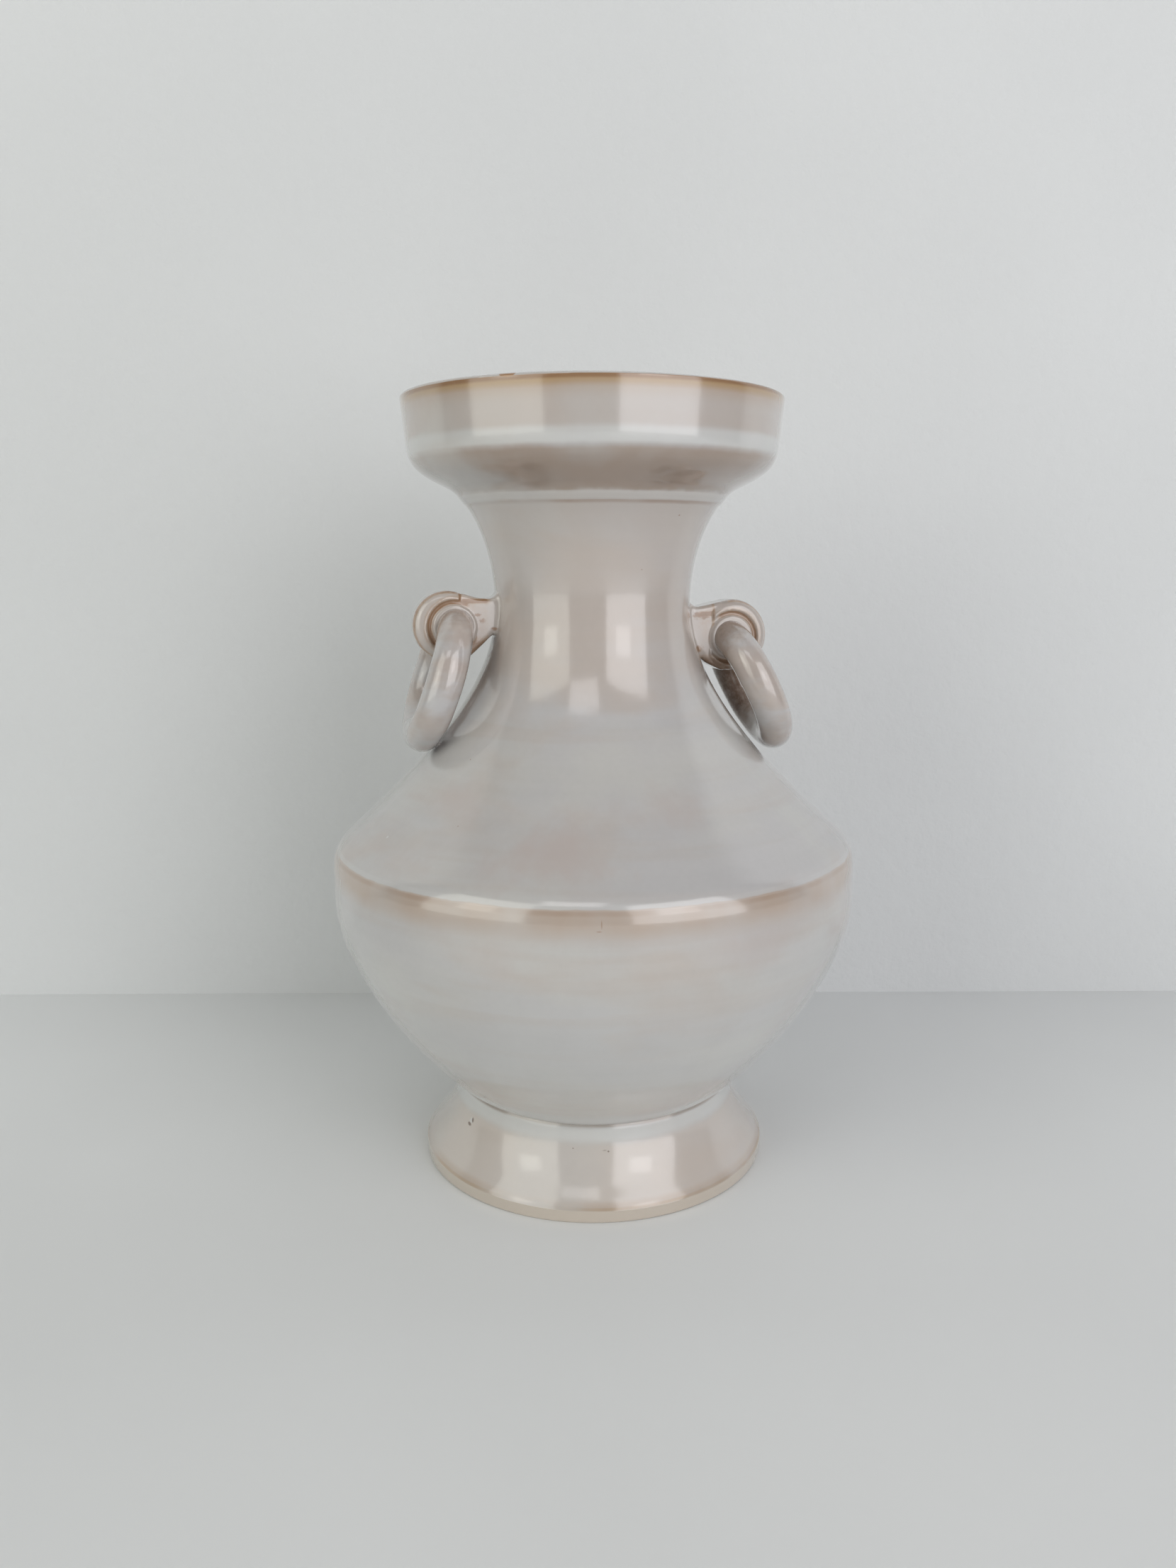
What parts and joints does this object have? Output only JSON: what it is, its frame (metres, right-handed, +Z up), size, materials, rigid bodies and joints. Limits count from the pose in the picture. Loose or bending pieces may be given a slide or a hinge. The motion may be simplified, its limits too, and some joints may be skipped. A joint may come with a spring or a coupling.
{
  "type": "ceramic vase with two ring handles",
  "caption": "Glazed vase with a dish mouth, waisted neck, angular belly and flared foot; curled lugs on the neck hold thick fixed rings.",
  "frame": {"origin": "centre of the foot, on the surface that the vase stands on", "axes": "+Z up along the vase's axis; the two lugs point along -X and +X; -Y is the front"},
  "size_m": [0.2072, 0.2072, 0.3],
  "materials": {
    "vase_glaze": "glossy pale grey glaze with faint pink-brown clouds, brown where it breaks thin",
    "ring_glaze": "glossy pale grey-brown glaze"
  },
  "bodies": {
    "root": {"vase_body": "vase_glaze", "left_ring": "ring_glaze", "right_ring": "ring_glaze"}
  },
  "joints": []
}
